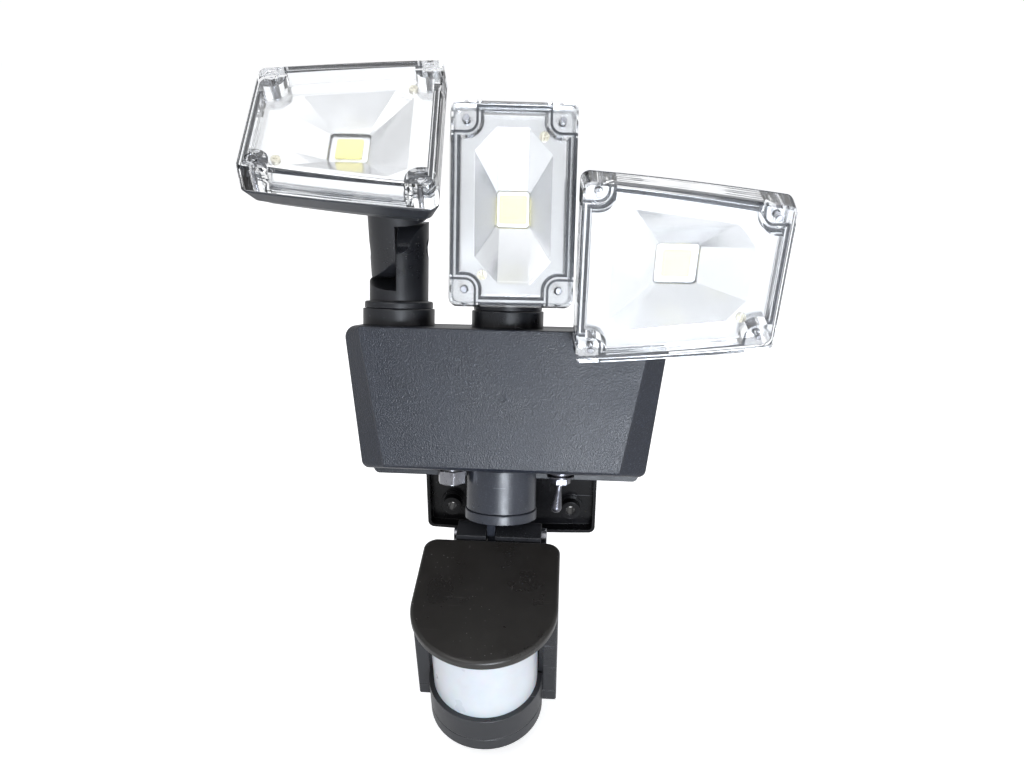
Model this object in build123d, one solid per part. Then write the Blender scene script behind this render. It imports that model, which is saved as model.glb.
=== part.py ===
from build123d import *
import os, math

os.makedirs("parts", exist_ok=True)

# Motion sensor security light with three adjustable heads. Millimetres.
# Row frame: origin at the centre of the wall bracket's back face, +X right, +Y into the wall, +Z up.
# The box and all it carries are drawn in the box frame (x right, y back, z up, origin at the centre
# of the top edge of the box's front face) and then placed with BX, leaning back by BOX_TILT.

BOX_TILT = 15.0
PIVOT_Y, PIVOT_Z = -22.0, 12.0          # box hinge on the bracket, row frame
BX = Rot(-BOX_TILT, 0, 0) * Pos(0, -86.0, 75.2)

# battery box
TOP_HW, FRONT_TOP_HW, FRONT_BOT_HW = 81.7, 72.5, 59.25
SIDE_SLOPE = 0.1333                      # side walls lean in by this much per mm down
CHAMFER_D, SPLIT_Y, BACK_Y = 10.5, 28.0, 54.0
FRONT_BOT, SHELL_BOT, REAR_BOT = -70.5, -73.0, -79.5
WALL = 2.8

# light heads
STEM_X, STEM_Y, KNUCKLE_Z = 57.0, 28.0, 39.66
COLLAR_R, FLANGE_R, STEM_R = 18.6, 17.7, 15.2
HEAD_FWD, HEAD_UP, HEAD_OFF = 70.9, 15.8, 20.1
ARM_ANGLE = 27.0
TILT = {"left": 37.7, "centre": -0.2, "right": -24.7}
PAN = {"left": 5.0, "centre": 5.4, "right": 1.6}
SIDE = {"left": -1, "centre": 0, "right": 1}
COVER_D, GASKET_T, FLANGE_T, RIM_D, BACK_D = 12.5, 0.8, 0.7, 8.5, 28.5
REFL_Y, FLOOR_Y = 9.0, 19.6
CHIP = 12.5

# motion sensor
SWIVEL_X, SWIVEL_R = -1.5, 18.4
SENS_PIVOT_Y, SENS_PIVOT_Z, SENS_TILT = 24.0, -110.0, 25.0
HOOD_W, HOOD_L, HOOD_T = 70.0, 79.0, 4.7
LENS_R, LENS_C, LENS_BOT = 25.5, -48.5, -43.7
BAND_R, SEAM_Z, BASE_Z = 28.0, -57.0, -64.0

GAP = 0.3
RUN = 0.05


def rpoly(pts, rs, arcs=None):
    """Closed face from corner points with a fillet radius each; arcs maps an edge number to its mid point."""
    n = len(pts)
    arcs = arcs or {}
    t = []
    for i in range(n):
        v, p, q, r = pts[i], pts[i - 1], pts[(i + 1) % n], rs[i]
        if r <= 0:
            t.append((v, None, v))
            continue
        u1 = (p[0] - v[0], p[1] - v[1])
        u2 = (q[0] - v[0], q[1] - v[1])
        l1, l2 = math.hypot(*u1), math.hypot(*u2)
        u1 = (u1[0] / l1, u1[1] / l1)
        u2 = (u2[0] / l2, u2[1] / l2)
        half = math.acos(max(-1, min(1, u1[0] * u2[0] + u1[1] * u2[1]))) / 2
        d = r / math.tan(half)
        b = (u1[0] + u2[0], u1[1] + u2[1])
        lb = math.hypot(*b)
        b = (b[0] / lb, b[1] / lb)
        m = r / math.sin(half) - r
        t.append(((v[0] + u1[0] * d, v[1] + u1[1] * d), (v[0] + b[0] * m, v[1] + b[1] * m), (v[0] + u2[0] * d, v[1] + u2[1] * d)))
    edges = []
    for i in range(n):
        a, m, b = t[i]
        if m is not None:
            edges.append(Edge.make_three_point_arc(Vector(*a, 0), Vector(*m, 0), Vector(*b, 0)))
        c = t[(i + 1) % n][0]
        if i in arcs:
            edges.append(Edge.make_three_point_arc(Vector(*b, 0), Vector(*arcs[i], 0), Vector(*c, 0)))
        else:
            edges.append(Edge.make_line(Vector(*b, 0), Vector(*c, 0)))
    return Face(Wire(edges))


def at_y(y):
    """Plane whose local x, y are x, z at a given depth."""
    return Plane(origin=(0, y, 0), x_dir=(1, 0, 0), z_dir=(0, -1, 0))


def slab(face, y0, y1):
    return extrude(at_y(y0) * face, amount=y1 - y0, dir=(0, 1, 0))


def blend_y(f0, y0, f1, y1):
    return loft([at_y(y0) * f0, at_y(y1) * f1], ruled=True)


def cyl_z(x, y, r, z0, z1):
    return Pos(x, y, (z0 + z1) / 2) * Cylinder(r, z1 - z0)


def cyl_x(y, z, r, x0, x1):
    return Pos((x0 + x1) / 2, y, z) * Rot(0, 90, 0) * Cylinder(r, x1 - x0)


def cyl_y(x, z, r, y0, y1):
    return Pos(x, (y0 + y1) / 2, z) * Rot(90, 0, 0) * Cylinder(r, y1 - y0)


def box(x0, x1, y0, y1, z0, z1):
    return Pos((x0 + x1) / 2, (y0 + y1) / 2, (z0 + z1) / 2) * Box(x1 - x0, y1 - y0, z1 - z0)


def slab_x(face, x0, x1):
    """Face drawn in (y, z), from x0 to x1."""
    return extrude(Plane(origin=(x0, 0, 0), x_dir=(0, 1, 0), z_dir=(1, 0, 0)) * face, amount=x1 - x0, dir=(1, 0, 0))


def slab_z(face, z0, z1):
    return extrude(Plane(origin=(0, 0, z0), x_dir=(1, 0, 0), z_dir=(0, 0, 1)) * face, amount=z1 - z0, dir=(0, 0, 1))


def hexagon(af, turn=0):
    return Rot(0, 0, turn) * RegularPolygon(radius=af / 2, side_count=6, major_radius=False)


def group(*s):
    return Compound(children=[x for k in s for x in k.solids()])


def out(name, shape, place=None):
    s = shape if place is None else place * shape
    sol = s.solids()
    assert sol, name
    s = sol[0] if len(sol) == 1 else Compound(children=list(sol))
    s.label = name
    export_step(s, "parts/%s.step" % name)
    print(name, len(sol), round(sum(k.volume for k in sol), 1), [round(v, 1) for v in (*s.bounding_box().min, *s.bounding_box().max)])


def tool(name, f):
    """A stray sliver-free result: the largest solid of a cut."""
    s = f.solids()
    return max(s, key=lambda k: k.volume)


# ---------------------------------------------------------------- wall bracket
BRK_W, BRK_H, RIM_DEPTH, RIM_T, PLATE_T = 102.0, 101.0, 9.5, 1.8, 2.2
SCREW_SP, BOSS_R, HOLE_R = 72.0, 5.8, 2.8
hw, hh = BRK_W / 2, BRK_H / 2
brk_out = rpoly([(-hw, hh), (hw, hh), (hw, -hh), (-hw, -hh)], [4, 4, 4, 4], {2: (0, -hh - 1.2)})
brk_in = rpoly([(-hw + RIM_T, hh - RIM_T), (hw - RIM_T, hh - RIM_T), (hw - RIM_T, -hh + RIM_T), (-hw + RIM_T, -hh + RIM_T)], [2.4] * 4, {2: (0, -hh + RIM_T - 1.2)})
bracket = slab(brk_out, -RIM_DEPTH, 0) - slab(brk_in, -RIM_DEPTH - 1, -PLATE_T)
for sx in (-1, 1):
    for sz in (-1, 1):
        x, z = sx * SCREW_SP / 2, sz * SCREW_SP / 2
        bracket += cyl_y(x, z, BOSS_R, -9.0, -1) + cyl_y(x, z, 7.2, -3.6, -1)
for sx in (-1, 1):
    x0, x1 = sorted((sx * 9.4, sx * 15.4))
    lug = Face(Wire.make_polygon([Vector(-1.5, -4, 0), Vector(-1.5, 26, 0), Vector(PIVOT_Y, PIVOT_Z + 7, 0), Vector(PIVOT_Y, PIVOT_Z - 7, 0)]))
    bracket += slab_x(lug, x0, x1) + cyl_x(PIVOT_Y, PIVOT_Z, 7.0, x0, x1)
for sx in (-1, 1):
    for sz in (-1, 1):
        bracket -= cyl_y(sx * SCREW_SP / 2, sz * SCREW_SP / 2, HOLE_R, -12, 3)
bracket -= cyl_x(PIVOT_Y, PIVOT_Z, 3.0, -20, 20)
out("wall_bracket", bracket)
bolt = cyl_x(PIVOT_Y, PIVOT_Z, 3.0, -15.4, 15.4) + cyl_x(PIVOT_Y, PIVOT_Z, 5.5, 15.4, 19.0) + cyl_x(PIVOT_Y, PIVOT_Z, 5.2, -19.4, -15.4)
bolt -= Pos(19.0, PIVOT_Y, PIVOT_Z) * Rot(0, 90, 0) * extrude(hexagon(4.0), amount=2.4, both=True)
out("hinge_bolt", bolt)

# ---------------------------------------------------------------- battery box


def side_hw(z, d=0.0):
    return TOP_HW + SIDE_SLOPE * z - d


def outer_face(bot, d=0.0, rt=6.0, rb=4.0):
    z0, z1 = 0 - d, bot + d
    return rpoly([(-side_hw(z0, d), z0), (side_hw(z0, d), z0), (side_hw(z1, d), z1), (-side_hw(z1, d), z1)], [rt, rt, rb, rb])


front_face = rpoly([(-FRONT_TOP_HW, 0), (FRONT_TOP_HW, 0), (FRONT_BOT_HW, FRONT_BOT), (-FRONT_BOT_HW, FRONT_BOT)], [1.5, 1.5, 1.2, 1.2])
front_lip = rpoly([(-FRONT_TOP_HW + 0.7, -0.5), (FRONT_TOP_HW - 0.7, -0.5), (FRONT_BOT_HW - 0.7, FRONT_BOT + 1.3), (-FRONT_BOT_HW + 0.7, FRONT_BOT + 1.3)], [1.3, 1.3, 1.0, 1.0])
nose = blend_y(front_lip, 0, front_face, 0.9) + blend_y(front_face, 0.9, outer_face(SHELL_BOT), CHAMFER_D) + slab(outer_face(SHELL_BOT), CHAMFER_D, SPLIT_Y)
inner_front = rpoly([(-69, -WALL), (69, -WALL), (56.5, -67.4), (-56.5, -67.4)], [1, 1, 1, 1])
front = nose
cav_f = outer_face(SHELL_BOT, WALL, 3.5, 2.0)
front -= blend_y(inner_front, 3.0, cav_f, CHAMFER_D + 2.6)
front -= slab(cav_f, CHAMFER_D + 2.6, SPLIT_Y + 1)
front -= cyl_y(0, -34, 1.5, -1, 0.4)

rear_pts = [(-TOP_HW, 0), (TOP_HW, 0), (side_hw(-74.0), -74.0), (69.0, REAR_BOT), (-69.0, REAR_BOT), (-side_hw(-74.0), -74.0)]


def rear_face(d, rs):
    p = [(-side_hw(-d, d), -d), (side_hw(-d, d), -d), (side_hw(-74.0, d), -74.0 + d * 0.5), (69.0 - d * 0.7, REAR_BOT + d), (-69.0 + d * 0.7, REAR_BOT + d), (-side_hw(-74.0, d), -74.0 + d * 0.5)]
    return rpoly(p, rs)


RO = rear_face(0, [6, 6, 2.5, 3, 3, 2.5])
rear = slab(RO, SPLIT_Y, BACK_Y - 4) + blend_y(RO, BACK_Y - 4, rear_face(3.2, [4, 4, 2, 2.4, 2.4, 2]), BACK_Y)
cav_r = rear_face(WALL, [3.5, 3.5, 1.6, 1.8, 1.8, 1.6])
rear -= slab(cav_r, SPLIT_Y - 1, 48.5)
# screw posts joining the shells, from the back
POSTS = [(-71.5, -13.6), (71.5, -13.6), (-61, -60), (61, -60)]
for x, z in POSTS:
    front += cyl_y(x, z, 4.2, 8.0 if z > -20 else 9.0, SPLIT_Y) & nose
    rear += cyl_y(x, z, 4.2, SPLIT_Y + 0.0, 50)
    front -= cyl_y(x, z, 1.6, 14, SPLIT_Y + 1)
    rear -= cyl_y(x, z, 1.8, SPLIT_Y - 1, 60)
    rear -= cyl_y(x, z, 3.4, 48.0, 60)
# stem seats, split by the shell joint
HOLE = 8.6
for s in (-1, 0, 1):
    c = cyl_z(s * STEM_X, STEM_Y, HOLE, -WALL - 1, 1)
    front -= c
    rear -= c
c = cyl_z(SWIVEL_X, STEM_Y, HOLE, REAR_BOT - 1, -66)
front -= c
rear -= c
# battery door recess, with the battery opening inside it
DOOR_Z0, DOOR_Z1, DOOR_HW = -52.0, -10.0, 42.0
rear -= box(-DOOR_HW - 0.2, DOOR_HW + 0.2, BACK_Y - 2.2, BACK_Y + 2, DOOR_Z0 - 0.2, DOOR_Z1 + 0.2)
rear -= box(-34, 34, 47, BACK_Y + 2, DOOR_Z0 + 4, DOOR_Z1 - 4)
for sx in (-1, 1):
    rear += cyl_y(sx * 38, -31, 3.6, 44, BACK_Y - 2.2)
    rear -= cyl_y(sx * 38, -31, 1.3, 44.5, 60)
# inlet and switch holes in the front shell's underside
JACK_X, TOG_X, HW_Y = -26.7, 29.7, 18.0
front -= cyl_z(JACK_X, HW_Y, 5.6, SHELL_BOT - 1, SHELL_BOT + WALL + 1)
front -= cyl_z(TOG_X, HW_Y, 3.05, SHELL_BOT - 1, SHELL_BOT + WALL + 1)
# side grips: a shallow recess with six small ribs
RZ0, RZ1 = -55.2, -17.5
rz = (RZ0 + RZ1) / 2
ang = math.degrees(math.atan(SIDE_SLOPE))
for sx in (-1, 1):
    loc = Pos(sx * side_hw(rz), 0, rz) * Rot(0, sx * ang, 0)
    cut = loc * box(-1.0 if sx > 0 else -3.0, 3.0 if sx > 0 else 1.0, 13.0, SPLIT_Y + 1, RZ0 - rz, RZ1 - rz)
    front -= cut
    for i in range(6):
        zi = (i - 2.5) * 5.4
        rib = loc * box(-1.3 if sx > 0 else 0.0, 0.0 if sx > 0 else 1.3, 13.0, SPLIT_Y, zi - 0.55, zi + 0.55)
        front += rib
# hinge lug at the back, in the box frame
inv = BX.inverse()
pv = (inv * Pos(0, PIVOT_Y, PIVOT_Z)).position
LUG_Y, LUG_Z = pv.Y, pv.Z
lug_f = Face(Wire.make_polygon([Vector(51, LUG_Z - 5.6, 0), Vector(LUG_Y, LUG_Z - 6.6, 0), Vector(LUG_Y, LUG_Z + 6.6, 0), Vector(51, LUG_Z + 11, 0)]))
rear += slab_x(lug_f, -9.0, 9.0) + cyl_x(LUG_Y, LUG_Z, 6.6, -9.0, 9.0)
rear -= cyl_x(LUG_Y, LUG_Z, 3.0 + RUN, -20, 20)
front = tool("front", front)
rear = tool("rear", rear)
out("front_shell", front, BX)
out("rear_shell", rear, BX)

# seal cord lying in the joint, inside the walls
seal = slab(outer_face(SHELL_BOT, WALL + 0.2, 3.3, 1.8), SPLIT_Y - 0.9, SPLIT_Y + 0.9) - slab(outer_face(SHELL_BOT, WALL + 1.8, 2.2, 1.2), SPLIT_Y - 2, SPLIT_Y + 2)
for s in (-1, 0, 1):
    seal -= cyl_z(s * STEM_X, STEM_Y, 12.0, -20, 1)
seal -= cyl_z(SWIVEL_X, STEM_Y, 12.0, -100, -60)
for x, z in POSTS:
    seal -= cyl_y(x, z, 4.5, 0, 60)
out("shell_seal", seal, BX)


def cap_screw(x, z, y_head, length, r=1.6, rh=3.0, th=2.0):
    s = cyl_y(x, z, rh, y_head - th, y_head) + cyl_y(x, z, r, y_head - th - length, y_head - th)
    s -= box(x - 0.35, x + 0.35, y_head - 1.0, y_head + 1, z - 1.9, z + 1.9)
    s -= box(x - 1.9, x + 1.9, y_head - 1.0, y_head + 1, z - 0.35, z + 0.35)
    return s


screws = [cap_screw(x, z, 50.0, 30.0) for x, z in POSTS]
screws += [cap_screw(sx * 38, -31, BACK_Y + 0.6, 7.6, 1.3, 2.6, 0.9) for sx in (-1, 1)]
out("shell_screws", group(*screws), BX)

door = slab(rpoly([(-DOOR_HW, DOOR_Z1), (DOOR_HW, DOOR_Z1), (DOOR_HW, DOOR_Z0), (-DOOR_HW, DOOR_Z0)], [1.0] * 4), BACK_Y - 2.2, BACK_Y - 0.3)
for sx in (-1, 1):
    door -= cyl_y(sx * 38, -31, 1.35, 40, 60)
    door -= cyl_y(sx * 38, -31, 2.8, BACK_Y - 0.3, 60)
for i in range(5):
    z = -31 + (i - 2) * 5.0
    door += box(-16, 16, BACK_Y - 0.3, BACK_Y + 0.4, z - 0.8, z + 0.8)
out("battery_door", door, BX)

cells = [cyl_x(37.5, -18.5 - 18.6 * i, 9.1, -30.5, 30.5) for i in range(2)]
pack_ = box(-32, 32, 28.2, 46.6, -47.0, -9.5)
pack_ = fillet(pack_.edges().filter_by(Axis.X), 8.0)
out("battery_pack", pack_, BX)

board = box(-48, 48, 20.5, 22.1, -56, -14)
for x, z, w, h, t in ((-30, -26, 10, 8, 4), (-8, -34, 14, 14, 2), (18, -24, 9, 9, 5), (34, -44, 8, 12, 3), (-36, -46, 9, 6, 3)):
    board += box(x - w / 2, x + w / 2, 20.5 - t, 20.5, z - h / 2, z + h / 2)
out("control_board", board, BX)

collars = []
for s in (-1, 0, 1):
    k = cyl_z(s * STEM_X, STEM_Y, COLLAR_R, 0, 8.5)
    k = fillet(k.edges().filter_by(GeomType.CIRCLE).sort_by(Axis.Z)[-1], 0.5)
    k -= cyl_z(s * STEM_X, STEM_Y, 8.0 + RUN, -1, 10)
    collars.append(k)
out("arm_collars", group(*collars), BX)

# inlet jack: a barrel with a threaded neck and a socket, and its hex nut
jack = cyl_z(JACK_X, HW_Y, 5.5, SHELL_BOT - 8.6, SHELL_BOT + WALL + 1.5) + cyl_z(JACK_X, HW_Y, 7.5, SHELL_BOT + WALL + 1.0, SHELL_BOT + WALL + 12)
jack -= cyl_z(JACK_X, HW_Y, 3.2, SHELL_BOT - 12, SHELL_BOT + 4)
jack += cyl_z(JACK_X, HW_Y, 1.0, SHELL_BOT - 5.5, SHELL_BOT + 6)
out("input_jack", jack, BX)
nut = Pos(JACK_X, HW_Y, SHELL_BOT - 7.8) * extrude(hexagon(13.0, -15), amount=6.5) - cyl_z(JACK_X, HW_Y, 5.5, -90, -60)
out("jack_nut", nut, BX)

# toggle switch: body inside, threaded neck through the wall, nut, and the bat lever in a ball seat
T_PIV = SHELL_BOT - 3.0
tb = box(TOG_X - 6.5, TOG_X + 6.5, HW_Y - 6, HW_Y + 6, SHELL_BOT + WALL + 0.8, SHELL_BOT + WALL + 12) + cyl_z(TOG_X, HW_Y, 3.0, SHELL_BOT - 7.2, SHELL_BOT + WALL + 1.5)
tb -= Pos(TOG_X, HW_Y, T_PIV) * Sphere(2.0)
tb -= cyl_z(TOG_X, HW_Y, 1.85, SHELL_BOT - 10, T_PIV)
tb -= Pos(TOG_X, HW_Y, SHELL_BOT - 5.6) * Cone(2.5, 1.85, 3.2)
tb -= cyl_y(TOG_X, T_PIV, 0.75, HW_Y - 4, HW_Y + 4)
out("toggle_body", tb, BX)
tn = Pos(TOG_X, HW_Y, SHELL_BOT - 6.3) * extrude(hexagon(9.0, 8), amount=2.6)
tn += cyl_z(TOG_X, HW_Y, 7.0, SHELL_BOT - 2.9, SHELL_BOT - 2.2)
tn -= cyl_z(TOG_X, HW_Y, 3.0, -90, -60)
tn += cyl_z(TOG_X, HW_Y, 7.0, SHELL_BOT - 0.9, SHELL_BOT) - cyl_z(TOG_X, HW_Y, 3.0, -90, -60)
tn += (cyl_z(TOG_X, HW_Y, 4.6, SHELL_BOT - 3.7, SHELL_BOT) - cyl_z(TOG_X, HW_Y, 3.0, -90, -60))
out("toggle_nut", tn, BX)
LEAN = 6.0
bat = Sphere(1.95) + cyl_y(0, 0, 0.7, -2.8, 2.8) + cyl_z(0, 0, 1.35, -8, -1) + Pos(0, 0, -11.5) * Cone(2.7, 1.35, 9.0) + Pos(0, 0, -16.3) * Sphere(2.72)
bat = Pos(TOG_X, HW_Y, T_PIV) * Rot(0, LEAN, 0) * bat
out("toggle_lever", bat, BX)

# ---------------------------------------------------------------- light heads


def outline(side, d=0.0, r=4.0):
    """Cover outline: taller on the inner side of an outer head, with bowed top and bottom edges."""
    if side == 0:
        w, h = 27.9 - d, 43.8 - d
        return rpoly([(-w, h), (w, h), (w, -h), (-w, -h)], [r] * 4)
    w, hi, ho = 44.6 - d, 43.3 - d, 33.8 - d
    mid = (hi + ho) / 2 + 0.62
    if side > 0:
        return rpoly([(-w, hi), (w, ho), (w, -ho), (-w, -hi)], [r] * 4, {0: (0, mid), 2: (0, -mid)})
    return rpoly([(-w, ho), (w, hi), (w, -hi), (-w, -ho)], [r] * 4, {0: (0, mid), 2: (0, -mid)})


def bosses(side):
    if side == 0:
        return [(-20.7, 36.1), (20.7, 36.1), (20.7, -36.1), (-20.7, -36.1)]
    a = [(-37.0, 36.0), (37.0, 27.4), (37.0, -27.4), (-37.0, -36.0)]
    return a if side > 0 else [(-x, z) for x, z in a]


def notched(side, d, rn, y0, y1, rc=3.0):
    s = slab(outline(side, d, rc), y0, y1)
    for x, z in bosses(side):
        sx, sz = (1 if x > 0 else -1), (1 if z > 0 else -1)
        xa, xb = sorted((x - sx * rn, x + sx * 20))
        za, zb = sorted((z, z + sz * 20))
        s -= box(xa, xb, y0 - 1, y1 + 1, za, zb)
        xa, xb = sorted((x, x + sx * 20))
        za, zb = sorted((z - sz * rn, z + sz * 20))
        s -= box(xa, xb, y0 - 1, y1 + 1, za, zb)
        s -= cyl_y(x, z, rn, y0 - 1, y1 + 1)
    return s


def grow(pts, d):
    """Offset a convex polygon outwards by about d."""
    n = len(pts)
    res = []
    area = sum(pts[i][0] * pts[(i + 1) % n][1] - pts[(i + 1) % n][0] * pts[i][1] for i in range(n))
    sg = 1 if area > 0 else -1
    lines = []
    for i in range(n):
        a, b = pts[i], pts[(i + 1) % n]
        ux, uy = b[0] - a[0], b[1] - a[1]
        l = math.hypot(ux, uy)
        nx, ny = sg * uy / l, -sg * ux / l
        lines.append(((a[0] + nx * d, a[1] + ny * d), (ux / l, uy / l)))
    for i in range(n):
        (p, u), (q, v) = lines[i - 1], lines[i]
        den = u[0] * v[1] - u[1] * v[0]
        k = ((q[0] - p[0]) * v[1] - (q[1] - p[1]) * v[0]) / den
        res.append((p[0] + u[0] * k, p[1] + u[1] * k))
    return res


def reflector_polys(side):
    if side == 0:
        mouth = [(-17.0, 23.4), (-7.6, 33.3), (6.4, 33.3), (17.0, 22.2), (17.0, -23.4), (8.0, -33.6), (-6.2, -33.6), (-16.6, -22.2)]
        cx, cz, a, b = 0.4, -0.4, 7.2, 7.9
    else:
        mouth = [(-21.2, 28.4), (22.5, 22.8), (31.2, 12.4), (31.2, -12.4), (22.5, -22.8), (-21.2, -28.4), (-29.8, -23.4), (-29.8, 23.4)]
        cx, cz, a, b = 0.0, 0.0, 9.3, 9.3
    c = 1.0
    floor = [(cx - a + c, cz + b), (cx + a - c, cz + b), (cx + a, cz + b - c), (cx + a, cz - b + c), (cx + a - c, cz - b), (cx - a + c, cz - b), (cx - a, cz - b + c), (cx - a, cz + b - c)]
    if side == 0:
        floor = [floor[7], floor[0], floor[1], floor[2], floor[3], floor[4], floor[5], floor[6]]
    if side < 0:
        mouth = [(-x, z) for x, z in mouth][::-1]
        floor = [(-x, z) for x, z in floor][::-1]
    return mouth, floor


def pface(pts):
    return Face(Wire.make_polygon([Vector(x, z, 0) for x, z in pts]))


SCR = {"left": [(-29.2, -20.2), (29.2, 29.0)], "centre": [(13.0, 29.8), (-13.0, -29.8)], "right": [(-29.2, 29.0), (29.2, -20.2)]}
CB, GB = COVER_D, COVER_D + GASKET_T
FB = GB + FLANGE_T
RB = FB + RIM_D
SEAT_Y = RB - 2.4                        # where the cover screws' heads seat

for name, side in SIDE.items():
    A = BX * Pos(side * STEM_X, STEM_Y, KNUCKLE_Z) * Rot(0, 0, PAN[name])      # pans with the stem
    S0 = BX * Pos(side * STEM_X, STEM_Y, 0) * Rot(0, 0, PAN[name])
    H = A * Rot(-TILT[name], 0, 0)                                             # tilts with the head
    HD = H * Pos(side * HEAD_OFF, -HEAD_FWD, HEAD_UP)                          # head frame

    # stem: flange, cylinder, half-lap knuckle with the ear on the right
    base = cyl_z(0, 0, FLANGE_R, 8.8, 12.3)
    base = fillet(base.edges().filter_by(GeomType.CIRCLE).sort_by(Axis.Z)[-1], 1.2)
    body = cyl_z(0, 0, STEM_R, 12.0, 60.0)
    pz = KNUCKLE_Z
    ear_f = Face(Wire.make_polygon([Vector(*v, 0) for v in ((-16, 12), (-16, 34), (-13.6, pz), (13.6, pz), (16, 34), (16, 12))]))
    ear = (slab_x(ear_f, GAP / 2, 16) + cyl_x(0, pz, 13.6, GAP / 2, 16)) & body
    low = Face(Wire.make_polygon([Vector(*v, 0) for v in ((-16, 12), (-16, 17.2), (5.36, 25.0), (15.2, 31.0), (16, 31.0), (16, 12))]))
    seat = (slab_x(low, -16, GAP / 2) & body) - cyl_x(0, pz, STEM_R + 0.4, -20, 0.0 + GAP / 2)
    stem = base + ear + seat
    stem += cyl_z(0, 0, 8.0, -4.0, 9.0) + cyl_z(0, 0, 11.0, -7.0, -3.6)
    stem -= cyl_z(0, 0, 4.0, -8, 14)
    stem -= cyl_x(0, pz, 3.0, 0, 20) + cyl_x(0, pz, 5.2, 9.5, 20)
    out(name + "_stem", tool("stem", stem), S0)
    kb = cyl_x(0, 0, 3.0, -12.2, 9.5) + cyl_x(0, 0, 5.0, 9.5, 12.6) + cyl_x(0, 0, 4.8, -12.9, -9.9)
    kb -= Pos(12.6, 0, 0) * Rot(0, 90, 0) * extrude(hexagon(4.0), amount=1.8, both=True)
    out(name + "_knuckle_bolt", kb, A)

    # arm: half-lap lobe, then full width, flaring into the back of the housing
    arm = (cyl_z(0, 0, STEM_R, 0, 17.4) + cyl_x(0, 0, STEM_R, -16, 16)) & box(-20, -GAP / 2, -20, 20, -20, 17.4)
    arm = arm & (cyl_z(0, 0, STEM_R, -20, 17.4))
    arm += cyl_z(0, 0, STEM_R, 17.2, 26.0) + Pos(0, 0, 47) * Cone(STEM_R, 18.4, 42.0)
    arm -= cyl_x(0, 0, 3.0 + RUN, -20, 1) + cyl_x(0, 0, 5.2, -20, -9.6)
    arm = Rot(90 - ARM_ANGLE, 0, 0) * arm
    arm = arm - box(-60, 60, -160, -HEAD_FWD + BACK_D, -80, 120)
    out(name + "_arm", tool("arm", arm), H)

    # housing: a tapered pan with screw pockets let into its back
    o0, o1, o2 = outline(side, 0.0), outline(side, 3.2, 3.4), outline(side, 7.4, 2.4)
    hs_o = blend_y(o0, FB, o1, RB) + blend_y(o1, RB, o2, BACK_D)
    hs = hs_o - slab(outline(side, 8.2, 2.0), FB - 1, RB) - blend_y(outline(side, 8.2, 2.0), RB, outline(side, 10.2, 1.6), BACK_D - 2.4)
    hs += box(-13, 13, FLOOR_Y + 2.6, BACK_D - 2.0, -13, 13)
    for x, z in bosses(side):
        hs += cyl_y(x, z, 4.6, FB, BACK_D) & hs_o
    for x, z in SCR[name]:
        hs += cyl_y(x, z, 1.5, REFL_Y + 0.8, BACK_D - 2.0)
    for x, z in SCR[name]:
        hs -= cyl_y(x, z, 0.9, REFL_Y, REFL_Y + 9.5)
    for x, z in bosses(side):
        hs -= cyl_y(x, z, 1.7, FB - 1, BACK_D + 1) + cyl_y(x, z, 2.9, SEAT_Y, BACK_D + 1)
    hs -= cyl_y(-side * HEAD_OFF, 6.0, 4.0, BACK_D - 4, BACK_D + 1)
    out(name + "_housing", tool("housing", hs), HD)

    # gasket: two concentric beads notched round the corner posts
    g1 = notched(side, 1.1, 4.2, CB, GB) - notched(side, 2.1, 5.2, CB - 1, GB + 1, 2.0)
    g2 = notched(side, 3.3, 6.2, CB, GB, 2.0) - notched(side, 4.7, 7.4, CB - 1, GB + 1, 1.0)
    out(name + "_gasket", group(g1, g2), HD)

    # clear cover: drafted skirt, window, corner posts with blind screw holes
    cv = blend_y(outline(side, 1.1, 3.4), 1.2, outline(side, 0.0), CB) + blend_y(outline(side, 2.0, 2.8), 0, outline(side, 1.1, 3.4), 1.2)
    cv -= notched(side, 5.0, 7.0, 2.4, CB + 1, 2.0)
    for x, z in bosses(side):
        cv -= cyl_y(x, z, 1.35, 4.0, CB + 1) + (cyl_y(x, z, 3.4, -1, 0.7) - cyl_y(x, z, 2.4, -1, 2))
    out(name + "_cover", tool("cover", cv), HD)
    cs = [cyl_y(x, z, 1.35, 4.4, SEAT_Y) + cyl_y(x, z, 2.7, SEAT_Y, SEAT_Y + 2.0) for x, z in bosses(side)]
    cs = [k - box(x - 1.6, x + 1.6, SEAT_Y + 1.1, SEAT_Y + 3, z - 0.3, z + 0.3) - box(x - 0.3, x + 0.3, SEAT_Y + 1.1, SEAT_Y + 3, z - 1.6, z + 1.6) for k, (x, z) in zip(cs, bosses(side))]
    out(name + "_cover_screws", group(*cs), HD)

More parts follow.
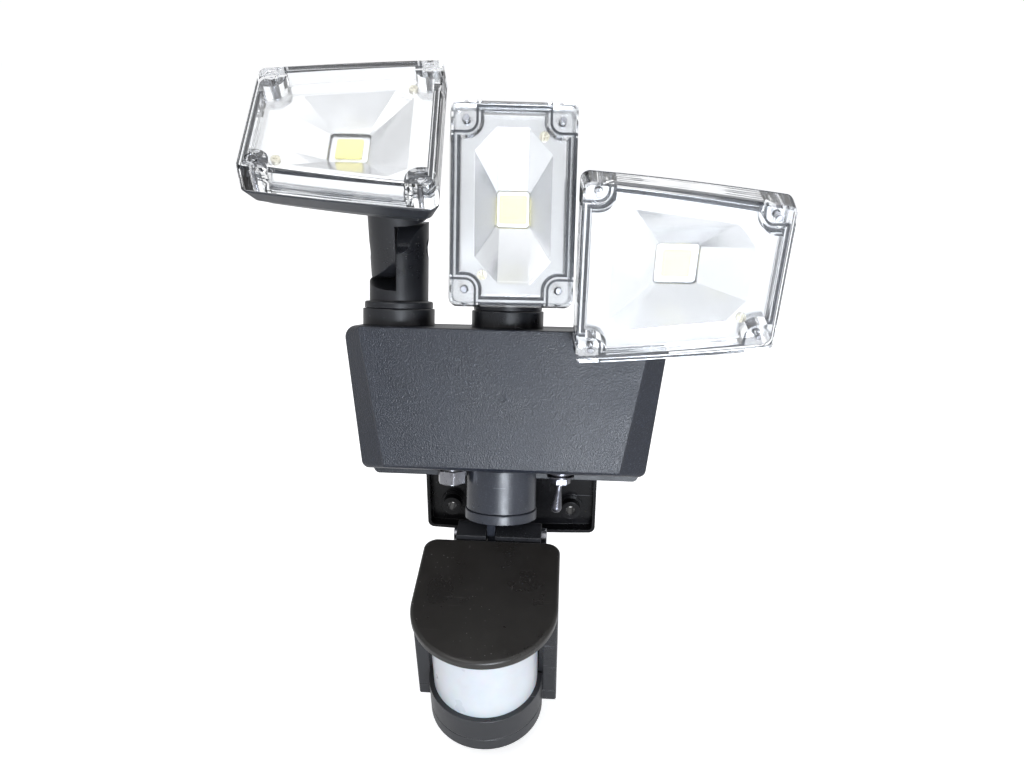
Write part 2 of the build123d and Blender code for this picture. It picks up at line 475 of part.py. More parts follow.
    # reflector: outer flange under the gasket, stepped wall, inner flange and faceted bowl
    mouth, floor = reflector_polys(side)
    rf = slab(outline(side, 0.6, 3.6), GB, FB) + notched(side, 5.4, 7.6, REFL_Y, GB, 1.8)
    rf -= notched(side, 6.1, 8.2, REFL_Y + 0.8, FB + 1, 1.2)
    bowl_o = loft([at_y(REFL_Y) * pface(grow(mouth, 0.7)), at_y(FLOOR_Y) * pface(grow(floor, 0.7))], ruled=True)
    bowl_i = loft([at_y(REFL_Y) * pface(mouth), at_y(FLOOR_Y) * pface(floor)], ruled=True)
    rf = (rf + bowl_o) - bowl_i
    for x, z in SCR[name]:
        rf -= cyl_y(x, z, 0.95, 0, REFL_Y + 3)
        rf -= cyl_y(x, z, 1.6, REFL_Y + 0.8, 24)
    for x, z in bosses(side):
        rf -= cyl_y(x, z, 1.7, GB - 1, FB + 1)
    out(name + "_reflector", tool("reflector", rf), HD)
    rs_ = []
    for x, z in SCR[name]:
        k = cyl_y(x, z, 0.9, REFL_Y, REFL_Y + 9.0) + cyl_y(x, z, 2.2, REFL_Y - 1.1, REFL_Y)
        k -= box(x - 1.3, x + 1.3, REFL_Y - 2, REFL_Y - 0.5, z - 0.25, z + 0.25) + box(x - 0.25, x + 0.25, REFL_Y - 2, REFL_Y - 0.5, z - 1.3, z + 1.3)
        rs_.append(k)
    out(name + "_reflector_screws", group(*rs_), HD)
    cx, cz = (0.4, -0.4) if side == 0 else (0.0, 0.0)
    out(name + "_led_board", box(-12.5, 12.5, FLOOR_Y + 1.1, FLOOR_Y + 2.6, -12.5, 12.5), HD)
    out(name + "_led_chip", slab(rpoly([(cx - CHIP / 2, cz + CHIP / 2), (cx + CHIP / 2, cz + CHIP / 2), (cx + CHIP / 2, cz - CHIP / 2), (cx - CHIP / 2, cz - CHIP / 2)], [0.8] * 4), FLOOR_Y + 0.3, FLOOR_Y + 1.1), HD)

# ---------------------------------------------------------------- motion sensor
SW_TOP, SW_BOT = SHELL_BOT, -95.3
col = cyl_z(SWIVEL_X, STEM_Y, SWIVEL_R, SW_BOT, SW_TOP)
col -= box(-40, 40, STEM_Y, 60, REAR_BOT, -60)
col -= cyl_z(SWIVEL_X, STEM_Y, 8.0 + RUN, -110, -60)
out("swivel_collar", tool("col", col), BX)

PY, PZ = SENS_PIVOT_Y, SENS_PIVOT_Z
sw = cyl_z(SWIVEL_X, STEM_Y, 19.0, -100.6, -95.7)
sw = fillet(sw.edges().filter_by(GeomType.CIRCLE).sort_by(Axis.Z)[-1], 0.6)
sw += cyl_z(SWIVEL_X, STEM_Y, 8.0, -96, -66.4) + cyl_z(SWIVEL_X, STEM_Y, 11.0, -69.6, -66.0)
tg = Face(Wire.make_polygon([Vector(*v, 0) for v in ((13.5, -100.4), (PY - 5.0, PZ - 1.0), (PY + 5.0, PZ - 1.0), (36.0, -100.4))]))
sw += slab_x(tg, -7.6, -3.4) + cyl_x(PY, PZ, 5.5, -7.6, -3.4)
gs = Face(Wire.make_polygon([Vector(*v, 0) for v in ((-15.5, -100.4), (-13.5, -101.2), (-8.0, -102.5), (-7.4, -102.5), (-7.4, -100.4))]))
sw += slab(gs, 22.0, 30.0)
sw -= cyl_z(SWIVEL_X + 3.6, STEM_Y, 2.0, -102, -60)
sw -= cyl_x(PY, PZ, 2.0 + RUN, -10, 0)
out("sensor_swivel", tool("sw", sw), BX)

SF = BX * Pos(-4.3, 13.0, -109.5) * Rot(SENS_TILT, 0, 0)
inv_s = (Pos(-4.3, 13.0, -109.5) * Rot(SENS_TILT, 0, 0)).inverse()
sp = (inv_s * Pos(0, PY, PZ)).position
SY, SZ = sp.Y, sp.Z


def dface(w, l, rr):
    """D-shaped plan: square rear, round front. Local y runs back, 0 at the rear edge."""
    h = w / 2
    e = [Edge.make_line(Vector(-h, -(l - h), 0), Vector(-h, -rr, 0)),
         Edge.make_three_point_arc(Vector(-h, -rr, 0), Vector(-h + rr * (1 - math.sqrt(0.5)), -rr * (1 - math.sqrt(0.5)), 0), Vector(-h + rr, 0, 0)),
         Edge.make_line(Vector(-h + rr, 0, 0), Vector(h - rr, 0, 0)),
         Edge.make_three_point_arc(Vector(h - rr, 0, 0), Vector(h - rr * (1 - math.sqrt(0.5)), -rr * (1 - math.sqrt(0.5)), 0), Vector(h, -rr, 0)),
         Edge.make_line(Vector(h, -rr, 0), Vector(h, -(l - h), 0)),
         Edge.make_three_point_arc(Vector(h, -(l - h), 0), Vector(0, -l, 0), Vector(-h, -(l - h), 0))]
    return Face(Wire(e))


hood = slab_z(dface(HOOD_W, HOOD_L, 7.0), -HOOD_T, 0)
hood = fillet(hood.faces().sort_by(Axis.Z)[-1].edges(), 1.6)
hood = fillet(hood.faces().sort_by(Axis.Z)[0].edges(), 1.2)
out("sensor_hood", tool("hood", hood), SF)

CH = 35.0
plan = rpoly([(-CH, -46.0), (-CH, -0.6), (CH, -0.6), (CH, -46.0)], [1.2, 7, 7, 1.2])
sh = slab_z(plan, SEAM_Z, -HOOD_T)
sh -= box(-26.0, 26.0, -60, -8.0, SEAM_Z - 1, -HOOD_T - 2.0)
sh -= box(-26.0, 26.0, -60, -44.2, SEAM_Z - 1, 0)
sh -= box(-32.4, 32.4, -42.5, -8.0, SEAM_Z - 1, -HOOD_T - 2.0)
for sx in (-1, 1):       # small inner step at the front of each cheek
    x0, x1 = sorted((sx * 25.9, sx * 28.2))
    sh -= box(x0, x1, -47, -45.0, -80, 0)
for x0, x1 in ((-19.1, -3.75), (1.35, 24.8)):
    e_ = slab_x(Face(Wire.make_polygon([Vector(*v, 0) for v in ((-3.0, SZ - 7.0), (SY, SZ - 7.0), (SY, SZ + 7.0), (0.4, SZ + 7.0), (0.4, -HOOD_T), (-3.0, -HOOD_T))])), x0, x1)
    sh += e_ + cyl_x(SY, SZ, 7.0, x0, x1)
sh -= slab_x(Face(Wire.make_polygon([Vector(*v, 0) for v in ((-1.5, SZ - 9.0), (SY + 9, SZ - 9.0), (SY + 9, SZ + 9.0), (-1.5, SZ + 9.0))])), -3.75, 1.35)
sh -= cyl_x(SY, SZ, 2.0, -19.2, 25)
out("sensor_housing", tool("sh", sh), SF)

tb_ = cyl_x(SY, SZ, 2.0, -19.1, 24.8) + cyl_x(SY, SZ, 4.5, 24.8, 27.6) + cyl_x(SY, SZ, 3.6, -21.3, -19.1)
tb_ -= box(26.8, 30, SY - 0.5, SY + 0.5, SZ - 5, SZ + 5)
out("sensor_tilt_bolt", tb_, SF)


def u_ring(r, t, z0, z1, yb):
    o = cyl_z(0, LENS_C, r, z0, z1) + box(-r, r, LENS_C, yb + 5, z0, z1)
    i = cyl_z(0, LENS_C, r - t, z0 - 1, z1 + 1) + box(-r + t, r - t, LENS_C, yb + 6, z0 - 1, z1 + 1)
    return (o - i) & box(-60, 60, -120, yb, z0 - 2, z1 + 2)


lens = u_ring(LENS_R, 1.8, LENS_BOT, -HOOD_T, -45.2)
lens += (cyl_z(0, LENS_C, LENS_R - 0.9, LENS_BOT, LENS_BOT + 1.4)) & box(-60, 60, -120, -45.2, -60, 0)
out("sensor_lens", tool("lens", lens), SF)

bs = slab_z(plan, BASE_Z, SEAM_Z - 0.4) + cyl_z(0, LENS_C, BAND_R, BASE_Z, SEAM_Z - 0.4)
bs += u_ring(BAND_R, 4.0, SEAM_Z - 0.4, LENS_BOT, -46.4)
grv = u_ring(BAND_R + 1, 1.4, SEAM_Z - 0.4, SEAM_Z + 0.1, -46.4)
bs -= grv
KN = [(-15.0, "time"), (0.0, "sens"), (15.0, "lux")]
for x, n in KN:
    bs -= cyl_z(x, -30, 5.4, BASE_Z - 1, BASE_Z + 2.2)
    bs -= cyl_z(x, -30, 2.5 + RUN, BASE_Z, SEAM_Z + 1)
out("sensor_base", tool("bs", bs), SF)

pcb = box(-20, 20, -15.0, -13.4, -54, -8)
pcb += cyl_y(0, -26, 4.6, -21.0, -15.0) + box(-9, 9, -18, -15, -50, -42)
out("sensor_board", pcb, SF)
for x, n in KN:
    k = cyl_z(x, -30, 4.9, BASE_Z - 0.4, BASE_Z + 1.9) + cyl_z(x, -30, 2.5, BASE_Z + 1.5, SEAM_Z - 0.6)
    k -= box(x - 3.6, x + 3.6, -30.5, -29.5, BASE_Z - 1, BASE_Z + 0.6)
    out("knob_" + n, k, SF)
print("LUG", LUG_Y, LUG_Z, "SENS", SY, SZ)
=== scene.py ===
import bpy, bmesh, math
from mathutils import Matrix, Vector


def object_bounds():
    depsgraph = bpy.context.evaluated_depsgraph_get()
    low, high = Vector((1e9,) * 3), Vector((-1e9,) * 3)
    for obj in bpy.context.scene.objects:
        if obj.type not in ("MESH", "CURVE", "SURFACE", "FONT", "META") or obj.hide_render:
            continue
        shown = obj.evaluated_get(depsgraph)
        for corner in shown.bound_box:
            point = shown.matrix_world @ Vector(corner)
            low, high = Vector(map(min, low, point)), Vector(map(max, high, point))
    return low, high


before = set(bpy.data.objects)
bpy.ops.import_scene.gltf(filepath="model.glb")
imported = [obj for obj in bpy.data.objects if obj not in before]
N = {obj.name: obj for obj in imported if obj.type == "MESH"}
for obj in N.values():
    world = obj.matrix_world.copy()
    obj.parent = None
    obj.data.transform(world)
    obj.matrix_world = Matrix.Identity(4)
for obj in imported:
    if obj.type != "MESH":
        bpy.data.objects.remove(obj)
CAD_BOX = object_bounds()
HEADS = ("left", "centre", "right")

# ------------------------------------------------------------------ placing
TILT15 = Matrix.Rotation(math.radians(-15.0), 4, "X")
BX = TILT15 @ Matrix.Translation((0, -0.086, 0.0752))          # box frame, metres


def rot(a, ax):
    return Matrix.Rotation(math.radians(a), 4, ax)


TILT = {"left": 37.7, "centre": -0.2, "right": -24.7}
PAN = {"left": 5.0, "centre": 5.4, "right": 1.6}
SIDE = {"left": -1, "centre": 0, "right": 1}
HD = {}
for h in HEADS:
    s = SIDE[h]
    A = BX @ Matrix.Translation((s * 0.057, 0.028, 0.03966)) @ rot(PAN[h], "Z") @ rot(-TILT[h], "X")
    HD[h] = A @ Matrix.Translation((s * 0.0201, -0.0709, 0.0158))
SF = BX @ Matrix.Translation((-0.0043, 0.013, -0.1095)) @ rot(25.0, "X")


# ------------------------------------------------------------------ materials
class G:
    """Small helper for building a node tree."""

    def __init__(self, name):
        self.m = bpy.data.materials.new(name)
        self.m.use_nodes = True
        self.t = self.m.node_tree
        self.t.nodes.clear()
        self.out = self.t.nodes.new("ShaderNodeOutputMaterial")
        self.tc = self.t.nodes.new("ShaderNodeTexCoord")

    def n(self, kind, **kw):
        x = self.t.nodes.new(kind)
        for k, v in kw.items():
            setattr(x, k, v)
        return x

    def link(self, a, b):
        self.t.links.new(a, b)

    def mapping(self, scale=(1, 1, 1), rotation=(0, 0, 0)):
        x = self.n("ShaderNodeMapping")
        x.inputs["Scale"].default_value = scale
        x.inputs["Rotation"].default_value = rotation
        self.link(self.tc.outputs["Object"], x.inputs["Vector"])
        return x.outputs["Vector"]

    def noise(self, scale, detail=2.0, rough=0.5, vec=None, out="Fac"):
        x = self.n("ShaderNodeTexNoise")
        x.inputs["Scale"].default_value = scale
        x.inputs["Detail"].default_value = detail
        x.inputs["Roughness"].default_value = rough
        self.link(vec if vec is not None else self.tc.outputs["Object"], x.inputs["Vector"])
        return x.outputs[out]

    def voronoi(self, scale, feature="F1", vec=None, out="Distance", randomness=1.0):
        x = self.n("ShaderNodeTexVoronoi", feature=feature)
        x.inputs["Scale"].default_value = scale
        x.inputs["Randomness"].default_value = randomness
        self.link(vec if vec is not None else self.tc.outputs["Object"], x.inputs["Vector"])
        return x.outputs[out]

    def ramp(self, fac, stops, mode="LINEAR"):
        x = self.n("ShaderNodeValToRGB")
        x.color_ramp.interpolation = mode
        e = x.color_ramp.elements
        while len(e) < len(stops):
            e.new(0.5)
        for i, (p, c) in enumerate(stops):
            e[i].position = p
            e[i].color = (c, c, c, 1) if isinstance(c, (int, float)) else (*c, 1)
        self.link(fac, x.inputs["Fac"])
        return x.outputs["Color"]

    def range(self, v, a, b, c, d):
        x = self.n("ShaderNodeMapRange")
        x.inputs["From Min"].default_value = a
        x.inputs["From Max"].default_value = b
        x.inputs["To Min"].default_value = c
        x.inputs["To Max"].default_value = d
        self.link(v, x.inputs["Value"])
        return x.outputs["Result"]

    def math(self, op, a, b=None):
        x = self.n("ShaderNodeMath", operation=op)
        for i, v in enumerate((a, b)):
            if v is None:
                continue
            if isinstance(v, (int, float)):
                x.inputs[i].default_value = v
            else:
                self.link(v, x.inputs[i])
        return x.outputs[0]

    def mix(self, fac, a, b, blend="MIX"):
        x = self.n("ShaderNodeMix", data_type="RGBA", blend_type=blend)
        for s, v in (("Factor", fac), ("A", a), ("B", b)):
            sock = [i for i in x.inputs if i.name == s and (i.type == "RGBA" or s == "Factor") and i.enabled][0]
            if isinstance(v, (int, float)):
                sock.default_value = v
            elif isinstance(v, tuple):
                sock.default_value = (*v, 1)
            else:
                self.link(v, sock)
        return [o for o in x.outputs if o.type == "RGBA"][0]

    def bump(self, height, distance, strength=1.0, normal=None):
        x = self.n("ShaderNodeBump")
        x.inputs["Distance"].default_value = distance
        x.inputs["Strength"].default_value = strength
        self.link(height, x.inputs["Height"])
        if normal is not None:
            self.link(normal, x.inputs["Normal"])
        return x.outputs["Normal"]

    def principled(self, color, rough, metallic=0.0, normal=None, **const):
        p = self.n("ShaderNodeBsdfPrincipled")
        for k, v in (("Base Color", color), ("Roughness", rough), ("Metallic", metallic)):
            if isinstance(v, (int, float)):
                p.inputs[k].default_value = v
            elif isinstance(v, tuple):
                p.inputs[k].default_value = (*v, 1)
            else:
                self.link(v, p.inputs[k])
        if normal is not None:
            self.link(normal, p.inputs["Normal"])
        for k, v in const.items():
            p.inputs[k.replace("_", " ")].default_value = v
        return p


def plastic(name, base, rough, grain=2200.0, depth=0.00005, strength=0.5, painted_glints=0.0, scratch=0.25, dust=0.15, edge_wear_and_highlight=0.35, spec=0.5, wear=(0.5, 0.52, 0.55), coat=0.0):
    """Moulded plastic: electro-eroded grain with painted glints lightening its specks, uneven sheen, fine
    scratches, dust specks, and rubbed edges that are partly real edge wear and partly a painted highlight.
    """
    g = G(name)
    fine = g.noise(grain, 3.0, 0.6)
    cell = g.voronoi(grain * 0.85)
    height = g.math("ADD", g.math("MULTIPLY", fine, 0.8), g.math("MULTIPLY", cell, 0.35))
    broad = g.noise(38.0, 3.0, 0.55)
    mid = g.noise(210.0, 2.0, 0.5)
    r = g.math("ADD", g.range(broad, 0.3, 0.7, rough - 0.05, rough + 0.06), g.range(mid, 0.3, 0.7, -0.025, 0.025))
    b0 = tuple(max(0.0, c * 0.86) for c in base)
    b1 = tuple(min(1.0, c * 1.16) for c in base)
    col = g.mix(g.range(broad, 0.3, 0.7, 0.0, 1.0), b0, b1)
    # painted glints: lighter specks on the grain stand in for light glinting off it; they are not a colour of the
    # plastic
    if painted_glints:
        painted_glint_mask = g.ramp(fine, [(0.56, 0.0), (0.72, 1.0)])
        col = g.mix(g.math("MULTIPLY", painted_glint_mask, painted_glints), col, tuple(min(1.0, c * 2.4 + 0.02) for c in base))
    # hairline scratches: two sets of long stretched noise, thresholded to thin lines
    marks = None
    for ang, sc in (((0.2, 0.5, 0.9), (30.0, 900.0, 900.0)), ((0.9, -0.4, 0.3), (900.0, 26.0, 900.0))):
        v = g.noise(1.0, 1.0, 0.4, g.mapping(sc, ang))
        line = g.ramp(v, [(0.735, 0.0), (0.76, 1.0)])
        patch = g.ramp(g.noise(22.0, 1.0, 0.5, g.mapping((1, 1, 1), ang)), [(0.5, 0.0), (0.62, 1.0)])
        k = g.math("MULTIPLY", line, patch)
        marks = k if marks is None else g.math("MAXIMUM", marks, k)
    col = g.mix(g.math("MULTIPLY", marks, scratch), col, wear)
    # dust: sparse pale specks
    d = g.ramp(g.voronoi(420.0), [(0.0, 1.0), (0.07, 1.0), (0.11, 0.0)])
    dp = g.ramp(g.noise(30.0, 2.0, 0.6), [(0.5, 0.0), (0.66, 1.0)])
    speck = g.math("MULTIPLY", g.math("MULTIPLY", d, dp), dust)
    col = g.mix(speck, col, (0.62, 0.62, 0.6))
    # rubbed edges, partly real edge wear and partly a painted highlight: lighter where the rounded normal leaves
    # the flat one
    bev = g.n("ShaderNodeBevel", samples=4)
    bev.inputs["Radius"].default_value = 0.0007
    geo = g.n("ShaderNodeNewGeometry")
    dot = g.n("ShaderNodeVectorMath", operation="DOT_PRODUCT")
    g.link(bev.outputs["Normal"], dot.inputs[0])
    g.link(geo.outputs["Normal"], dot.inputs[1])
    edge_wear_and_highlight_mask = g.range(dot.outputs["Value"], 0.995, 0.90, 0.0, 1.0)
    edge_wear_and_highlight_mask = g.math("MULTIPLY", edge_wear_and_highlight_mask, g.range(mid, 0.35, 0.65, 0.35, 1.0))
    col = g.mix(g.math("MULTIPLY", edge_wear_and_highlight_mask, edge_wear_and_highlight), col, tuple(min(1.0, c * 2.2 + 0.05) for c in base))
    r = g.math("SUBTRACT", r, g.math("MULTIPLY", edge_wear_and_highlight_mask, 0.08))
    nrm = g.bump(height, depth, strength, bev.outputs["Normal"])
    p = g.principled(col, r, 0.0, nrm)
    p.inputs["Specular IOR Level"].default_value = spec
    if coat:
        p.inputs["Coat Weight"].default_value = coat
        p.inputs["Coat Roughness"].default_value = 0.12
    g.link(p.outputs[0], g.out.inputs["Surface"])
    return g.m


def metal(name, base, rough, brushed=(900, 900, 60), tint=None, depth=0.00002, dirt=0.25):
    g = G(name)
    br = g.noise(1.0, 2.0, 0.6, g.mapping(brushed))
    bl = g.noise(160.0, 3.0, 0.6)
    col = g.mix(g.range(bl, 0.35, 0.7, 0.0, 1.0), base, tint or tuple(c * 0.82 for c in base))
    spots = g.ramp(g.noise(700.0, 3.0, 0.7), [(0.60, 0.0), (0.72, 1.0)])
    col = g.mix(g.math("MULTIPLY", spots, dirt), col, (0.16, 0.14, 0.12))
    r = g.math("ADD", g.range(br, 0.3, 0.7, rough - 0.06, rough + 0.08), g.math("MULTIPLY", spots, 0.15))
    bev = g.n("ShaderNodeBevel", samples=4)
    bev.inputs["Radius"].default_value = 0.0003
    nrm = g.bump(br, depth, 0.5, bev.outputs["Normal"])
    p = g.principled(col, r, 1.0, nrm)
    g.link(p.outputs[0], g.out.inputs["Surface"])
    return g.m


def clear(name, tint=(0.965, 0.975, 0.985), rough=0.015):
    """Clear moulded polycarbonate. Lamps' rays pass it, so what is inside stays lit."""
    g = G(name)
    flow = g.noise(70.0, 2.0, 0.5)
    fine = g.ramp(g.noise(900.0, 2.0, 0.6), [(0.66, 0.0), (0.8, 1.0)])
    r = g.math("ADD", g.range(flow, 0.3, 0.7, rough, rough + 0.02), g.math("MULTIPLY", fine, 0.02))
    nrm = g.bump(flow, 0.00008, 0.2)
    p = g.principled(tint, r, 0.0, nrm, Transmission_Weight=1.0, IOR=1.5)
    tr = g.n("ShaderNodeBsdfTransparent")
    tr.inputs["Color"].default_value = (0.94, 0.95, 0.96, 1)
    lp = g.n("ShaderNodeLightPath")
    mx = g.n("ShaderNodeMixShader")
    g.link(lp.outputs["Is Shadow Ray"], mx.inputs[0])
    g.link(p.outputs[0], mx.inputs[1])
    g.link(tr.outputs[0], mx.inputs[2])
    g.link(mx.outputs[0], g.out.inputs["Surface"])
    return g.m


def reflector(name, base=(0.90, 0.90, 0.905), rough=0.17, metallic=0.75):
    """Vacuum-metallised plastic: bright, slightly hazy, with faint orange peel."""
    g = G(name)
    peel = g.noise(420.0, 2.0, 0.5)
    haze = g.noise(46.0, 3.0, 0.6)
    col = g.mix(g.range(haze, 0.3, 0.7, 0.0, 1.0), tuple(c * 0.965 for c in base), base)
    pin = g.ramp(g.voronoi(330.0), [(0.0, 1.0), (0.035, 1.0), (0.06, 0.0)])
    col = g.mix(g.math("MULTIPLY", pin, 0.06), col, (0.55, 0.53, 0.5))
    r = g.range(haze, 0.3, 0.7, rough - 0.03, rough + 0.07)
    bev = g.n("ShaderNodeBevel", samples=4)
    bev.inputs["Radius"].default_value = 0.0006
    nrm = g.bump(peel, 0.00001, 0.3, bev.outputs["Normal"])
    p = g.principled(col, r, metallic, nrm)
    g.link(p.outputs[0], g.out.inputs["Surface"])
    return g.m


def phosphor(name):
    """Light-source square: silicone-covered phosphor with a faint dot grid of dies."""
    g = G(name)
    dots = g.ramp(g.voronoi(620.0, randomness=0.0), [(0.0, 1.0), (0.22, 1.0), (0.4, 0.0)])
    mott = g.noise(900.0, 3.0, 0.6)
    col = g.mix(g.math("MULTIPLY", dots, 0.25), (0.74, 0.66, 0.22), (0.78, 0.58, 0.12))
    col = g.mix(g.math("MULTIPLY", mott, 0.25), col, (0.84, 0.80, 0.45))
    nrm = g.bump(g.math("ADD", dots, mott), 0.00006, 0.5)
    p = g.principled(col, g.range(mott, 0.3, 0.7, 0.30, 0.42), 0.0, nrm)
    g.link(p.outputs[0], g.out.inputs["Surface"])
    return g.m


def frosted(name):
    """Moulded infra-red lens: milky, with fine upright ribs on its inner face showing through."""
    g = G(name)
    haze = g.noise(60.0, 3.0, 0.55)
    fine = g.noise(1500.0, 2.0, 0.6)
    col = g.mix(g.range(haze, 0.3, 0.7, 0.0, 1.0), (0.50, 0.52, 0.55), (0.55, 0.57, 0.59))
    nrm = g.bump(g.math("ADD", g.math("MULTIPLY", fine, 0.5), haze), 0.00005, 0.4)
    p = g.principled(col, g.range(haze, 0.3, 0.7, 0.26, 0.38), 0.0, nrm, Subsurface_Weight=0.35, Subsurface_Scale=0.004, Coat_Weight=0.25, Coat_Roughness=0.15)
    g.link(p.outputs[0], g.out.inputs["Surface"])
    return g.m


def rubber(name, base=(0.03, 0.032, 0.037)):
    g = G(name)
    f = g.noise(1800.0, 3.0, 0.6)
    b = g.noise(120.0, 2.0, 0.5)
    col = g.mix(g.range(b, 0.3, 0.7, 0.0, 1.0), base, tuple(c * 1.5 for c in base))
    p = g.principled(col, g.range(f, 0.3, 0.7, 0.5, 0.66), 0.0, g.bump(f, 0.00004, 0.5))
    g.link(p.outputs[0], g.out.inputs["Surface"])
    return g.m


def board(name):
    g = G(name)
    tr = g.ramp(g.voronoi(260.0, "DISTANCE_TO_EDGE"), [(0.0, 1.0), (0.06, 0.0)])
    f = g.noise(900.0, 2.0, 0.5)
    col = g.mix(g.math("MULTIPLY", tr, 0.7), (0.03, 0.16, 0.07), (0.10, 0.34, 0.16))
    p = g.principled(col, g.range(f, 0.3, 0.7, 0.3, 0.45), 0.0, g.bump(g.math("ADD", tr, f), 0.00005, 0.5))
    g.link(p.outputs[0], g.out.inputs["Surface"])
    return g.m


M = {
    "shell": plastic("shell_grain", (0.009, 0.0115, 0.019), 0.34, 1400.0, 0.00024, 1.0, painted_glints=1.0, scratch=0.03, dust=0.12, edge_wear_and_highlight=0.6, spec=0.5),
    "shell_rear": plastic("shell_rear_grain", (0.012, 0.014, 0.019), 0.40, 1500.0, 0.00014, 0.8, painted_glints=0.6, scratch=0.03, dust=0.2, edge_wear_and_highlight=0.5),
    "stem": plastic("stem_satin", (0.012, 0.0125, 0.015), 0.32, 2600.0, 0.00005, 0.45, painted_glints=0.1, scratch=0.12, dust=0.25, edge_wear_and_highlight=0.5),
    "housing": plastic("housing_satin", (0.024, 0.026, 0.031), 0.36, 2200.0, 0.00005, 0.45, painted_glints=0.15, scratch=0.12, dust=0.2, edge_wear_and_highlight=0.5),
    # painted shade: the bracket's base colour is set darker than the other black plastics to stand in for the
    # shade it sits in
    "bracket": plastic("bracket_gloss_painted_shade", (0.004, 0.004, 0.005), 0.24, 2400.0, 0.00003, 0.35, painted_glints=0.05, scratch=0.15, dust=0.2, edge_wear_and_highlight=0.5, spec=0.32),
    "collar": plastic("collar_satin", (0.024, 0.027, 0.036), 0.31, 1800.0, 0.00010, 0.6, painted_glints=0.6, scratch=0.10, dust=0.2, edge_wear_and_highlight=0.5),
    "hood": plastic("hood_gloss", (0.019, 0.0172, 0.0155), 0.30, 1900.0, 0.00006, 0.45, painted_glints=0.05, scratch=0.16, dust=0.45, edge_wear_and_highlight=0.45, wear=(0.30, 0.29, 0.28)),
    "sensor": plastic("sensor_satin", (0.018, 0.0185, 0.021), 0.30, 2200.0, 0.00005, 0.4, painted_glints=0.1, scratch=0.12, dust=0.3, edge_wear_and_highlight=0.55),
    "dial": plastic("dial_satin", (0.10, 0.10, 0.11), 0.42, 2600.0, 0.00004, 0.4, dust=0.1),
    "wrap": plastic("battery_wrap", (0.05, 0.14, 0.42), 0.28, 900.0, 0.00005, 0.3, dust=0.05, edge_wear_and_highlight=0.1),
    "zinc": metal("zinc_plate", (0.40, 0.40, 0.42), 0.30, tint=(0.30, 0.30, 0.33)),
    "chrome": metal("chrome_plate", (0.17, 0.17, 0.19), 0.30, tint=(0.11, 0.11, 0.13), dirt=0.35),
    "darkmetal": metal("blackened_barrel", (0.20, 0.20, 0.21), 0.30),
    "brass": metal("yellow_zinc", (0.66, 0.62, 0.50), 0.28, tint=(0.52, 0.50, 0.44), dirt=0.4),
    "alu": metal("board_aluminium", (0.82, 0.82, 0.83), 0.35),
    "clear": clear("clear_cover"),
    "reflector": reflector("reflector_bright", (0.66, 0.66, 0.665), 0.15, 0.88),
    "phosphor": phosphor("phosphor_yellow"),
    "lens": frosted("frosted_lens"),
    "rubber": rubber("gasket_rubber"),
    "board": board("solder_mask"),
}

USE = {
    "wall_bracket": "bracket", "hinge_bolt": "zinc", "front_shell": "shell", "rear_shell": "shell_rear", "shell_seal": "rubber", "shell_screws": "zinc",
    "battery_door": "shell_rear", "battery_pack": "wrap", "control_board": "board", "arm_collars": "stem", "input_jack": "darkmetal", "jack_nut": "zinc",
    "toggle_body": "chrome", "toggle_nut": "chrome", "toggle_lever": "chrome", "swivel_collar": "collar", "sensor_swivel": "collar", "sensor_hood": "hood",
    "sensor_housing": "sensor", "sensor_tilt_bolt": "zinc", "sensor_lens": "lens", "sensor_base": "sensor", "sensor_board": "board",
    "knob_time": "dial", "knob_sens": "dial", "knob_lux": "dial",
}
for h in HEADS:
    USE.update({h + "_stem": "stem", h + "_knuckle_bolt": "zinc", h + "_arm": "stem", h + "_housing": "housing", h + "_gasket": "rubber", h + "_cover": "clear",
                h + "_cover_screws": "zinc", h + "_reflector": "reflector", h + "_reflector_screws": "brass", h + "_led_board": "alu", h + "_led_chip": "phosphor"})
for name, key in USE.items():
    o = N[name]
    o.data.materials.clear()
    o.data.materials.append(M[key])

# ------------------------------------------------------------------ stage, camera, light
fl = bpy.data.meshes.new("floor")
lo = CAD_BOX[0][2] - 0.012
fl.from_pydata([(-60, -60, lo), (60, -60, lo), (60, 60, lo), (-60, 60, lo)], [], [(0, 1, 2, 3)])
floor = bpy.data.objects.new("floor", fl)
bpy.context.scene.collection.objects.link(floor)
g = G("floor_paper")
fn = g.noise(3.0, 3.0, 0.5)
p = g.principled(g.mix(g.range(fn, 0.3, 0.7, 0.0, 1.0), (0.93, 0.93, 0.935), (0.95, 0.95, 0.95)), g.range(fn, 0.3, 0.7, 0.75, 0.85), 0.0, g.bump(g.noise(900.0, 2.0, 0.5), 0.00005, 0.2))
p.inputs["Emission Color"].default_value = (1, 1, 1, 1)
lp = g.n("ShaderNodeLightPath")
g.link(g.math("MULTIPLY", g.math("MAXIMUM", lp.outputs["Is Camera Ray"], lp.outputs["Is Transmission Ray"]), 0.60), p.inputs["Emission Strength"])
g.link(p.outputs[0], g.out.inputs["Surface"])
fl.materials.append(g.m)

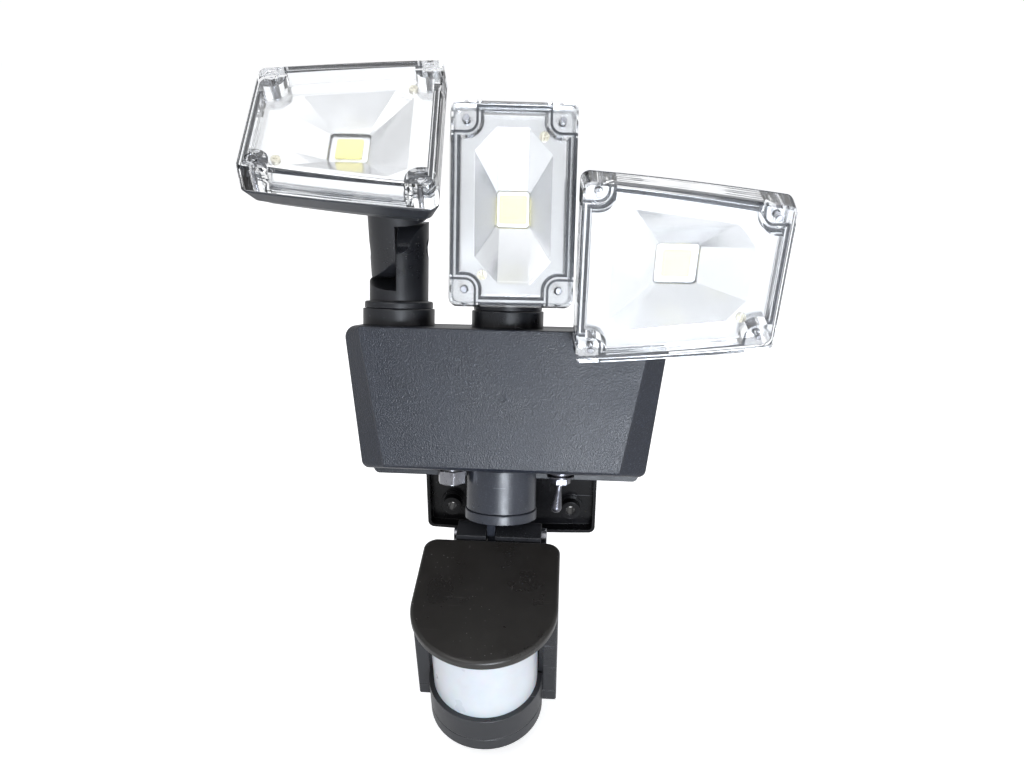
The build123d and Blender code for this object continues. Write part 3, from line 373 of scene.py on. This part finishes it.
cam = bpy.data.cameras.new("camera")
cam.sensor_width = 36.0
cam.lens = 28.83
cam.clip_start = 0.01
co = bpy.data.objects.new("camera", cam)
bpy.context.scene.collection.objects.link(co)
pos = BX @ Vector((0.031654, -0.397621, 0.019138))
R = TILT15.to_3x3()
fwd = R @ Vector((-0.06667075, 0.99057727, -0.11963148))
up = R @ Vector((-0.02932236, 0.11790129, 0.99259231))
right = R @ Vector((0.99734408, 0.06968475, 0.0211855))
m = Matrix((right, up, -fwd)).transposed().to_4x4()
m.translation = pos
co.matrix_world = m
bpy.context.scene.camera = co


def area(name, loc, target, size, power, color=(1, 1, 1), size_y=None):
    d = bpy.data.lights.new(name, "AREA")
    d.energy = power
    d.color = color
    d.size = size
    if size_y:
        d.shape = "RECTANGLE"
        d.size_y = size_y
    o = bpy.data.objects.new(name, d)
    bpy.context.scene.collection.objects.link(o)
    o.location = loc
    o.rotation_euler = (Vector(target) - Vector(loc)).to_track_quat("-Z", "Y").to_euler()
    return o


T = (0, -0.08, 0.05)
area("key", (-0.7, -1.3, 1.35), T, 1.1, 8.0, size_y=0.9)
area("sheen", (0.27, -1.2, 0.02), (0, -0.08, 0.04), 0.38, 13.0, (0.86, 0.92, 1.0), size_y=0.28)
area("fill", (1.2, -0.9, 0.7), T, 1.0, 3.0)
area("top", (0.1, -0.1, 1.6), T, 1.4, 5.0)
area("back", (0.2, 1.2, 0.9), T, 1.2, 4.0)

# white to the eye and through the covers, dimmer as a light
w = bpy.data.worlds.new("world")
bpy.context.scene.world = w
w.use_nodes = True
nt = w.node_tree
nt.nodes.clear()
wo = nt.nodes.new("ShaderNodeOutputWorld")
b1 = nt.nodes.new("ShaderNodeBackground")
b1.inputs["Color"].default_value = (1, 1, 1, 1)
b1.inputs["Strength"].default_value = 1.02
b2 = nt.nodes.new("ShaderNodeBackground")
b2.inputs["Color"].default_value = (0.97, 0.98, 1.0, 1)
b2.inputs["Strength"].default_value = 0.45
lp = nt.nodes.new("ShaderNodeLightPath")
mx = nt.nodes.new("ShaderNodeMath")
mx.operation = "MAXIMUM"
nt.links.new(lp.outputs["Is Camera Ray"], mx.inputs[0])
nt.links.new(lp.outputs["Is Transmission Ray"], mx.inputs[1])
ms = nt.nodes.new("ShaderNodeMixShader")
nt.links.new(mx.outputs[0], ms.inputs[0])
nt.links.new(b2.outputs[0], ms.inputs[1])
nt.links.new(b1.outputs[0], ms.inputs[2])
nt.links.new(ms.outputs[0], wo.inputs["Surface"])
bpy.context.scene.view_settings.view_transform = "Standard"
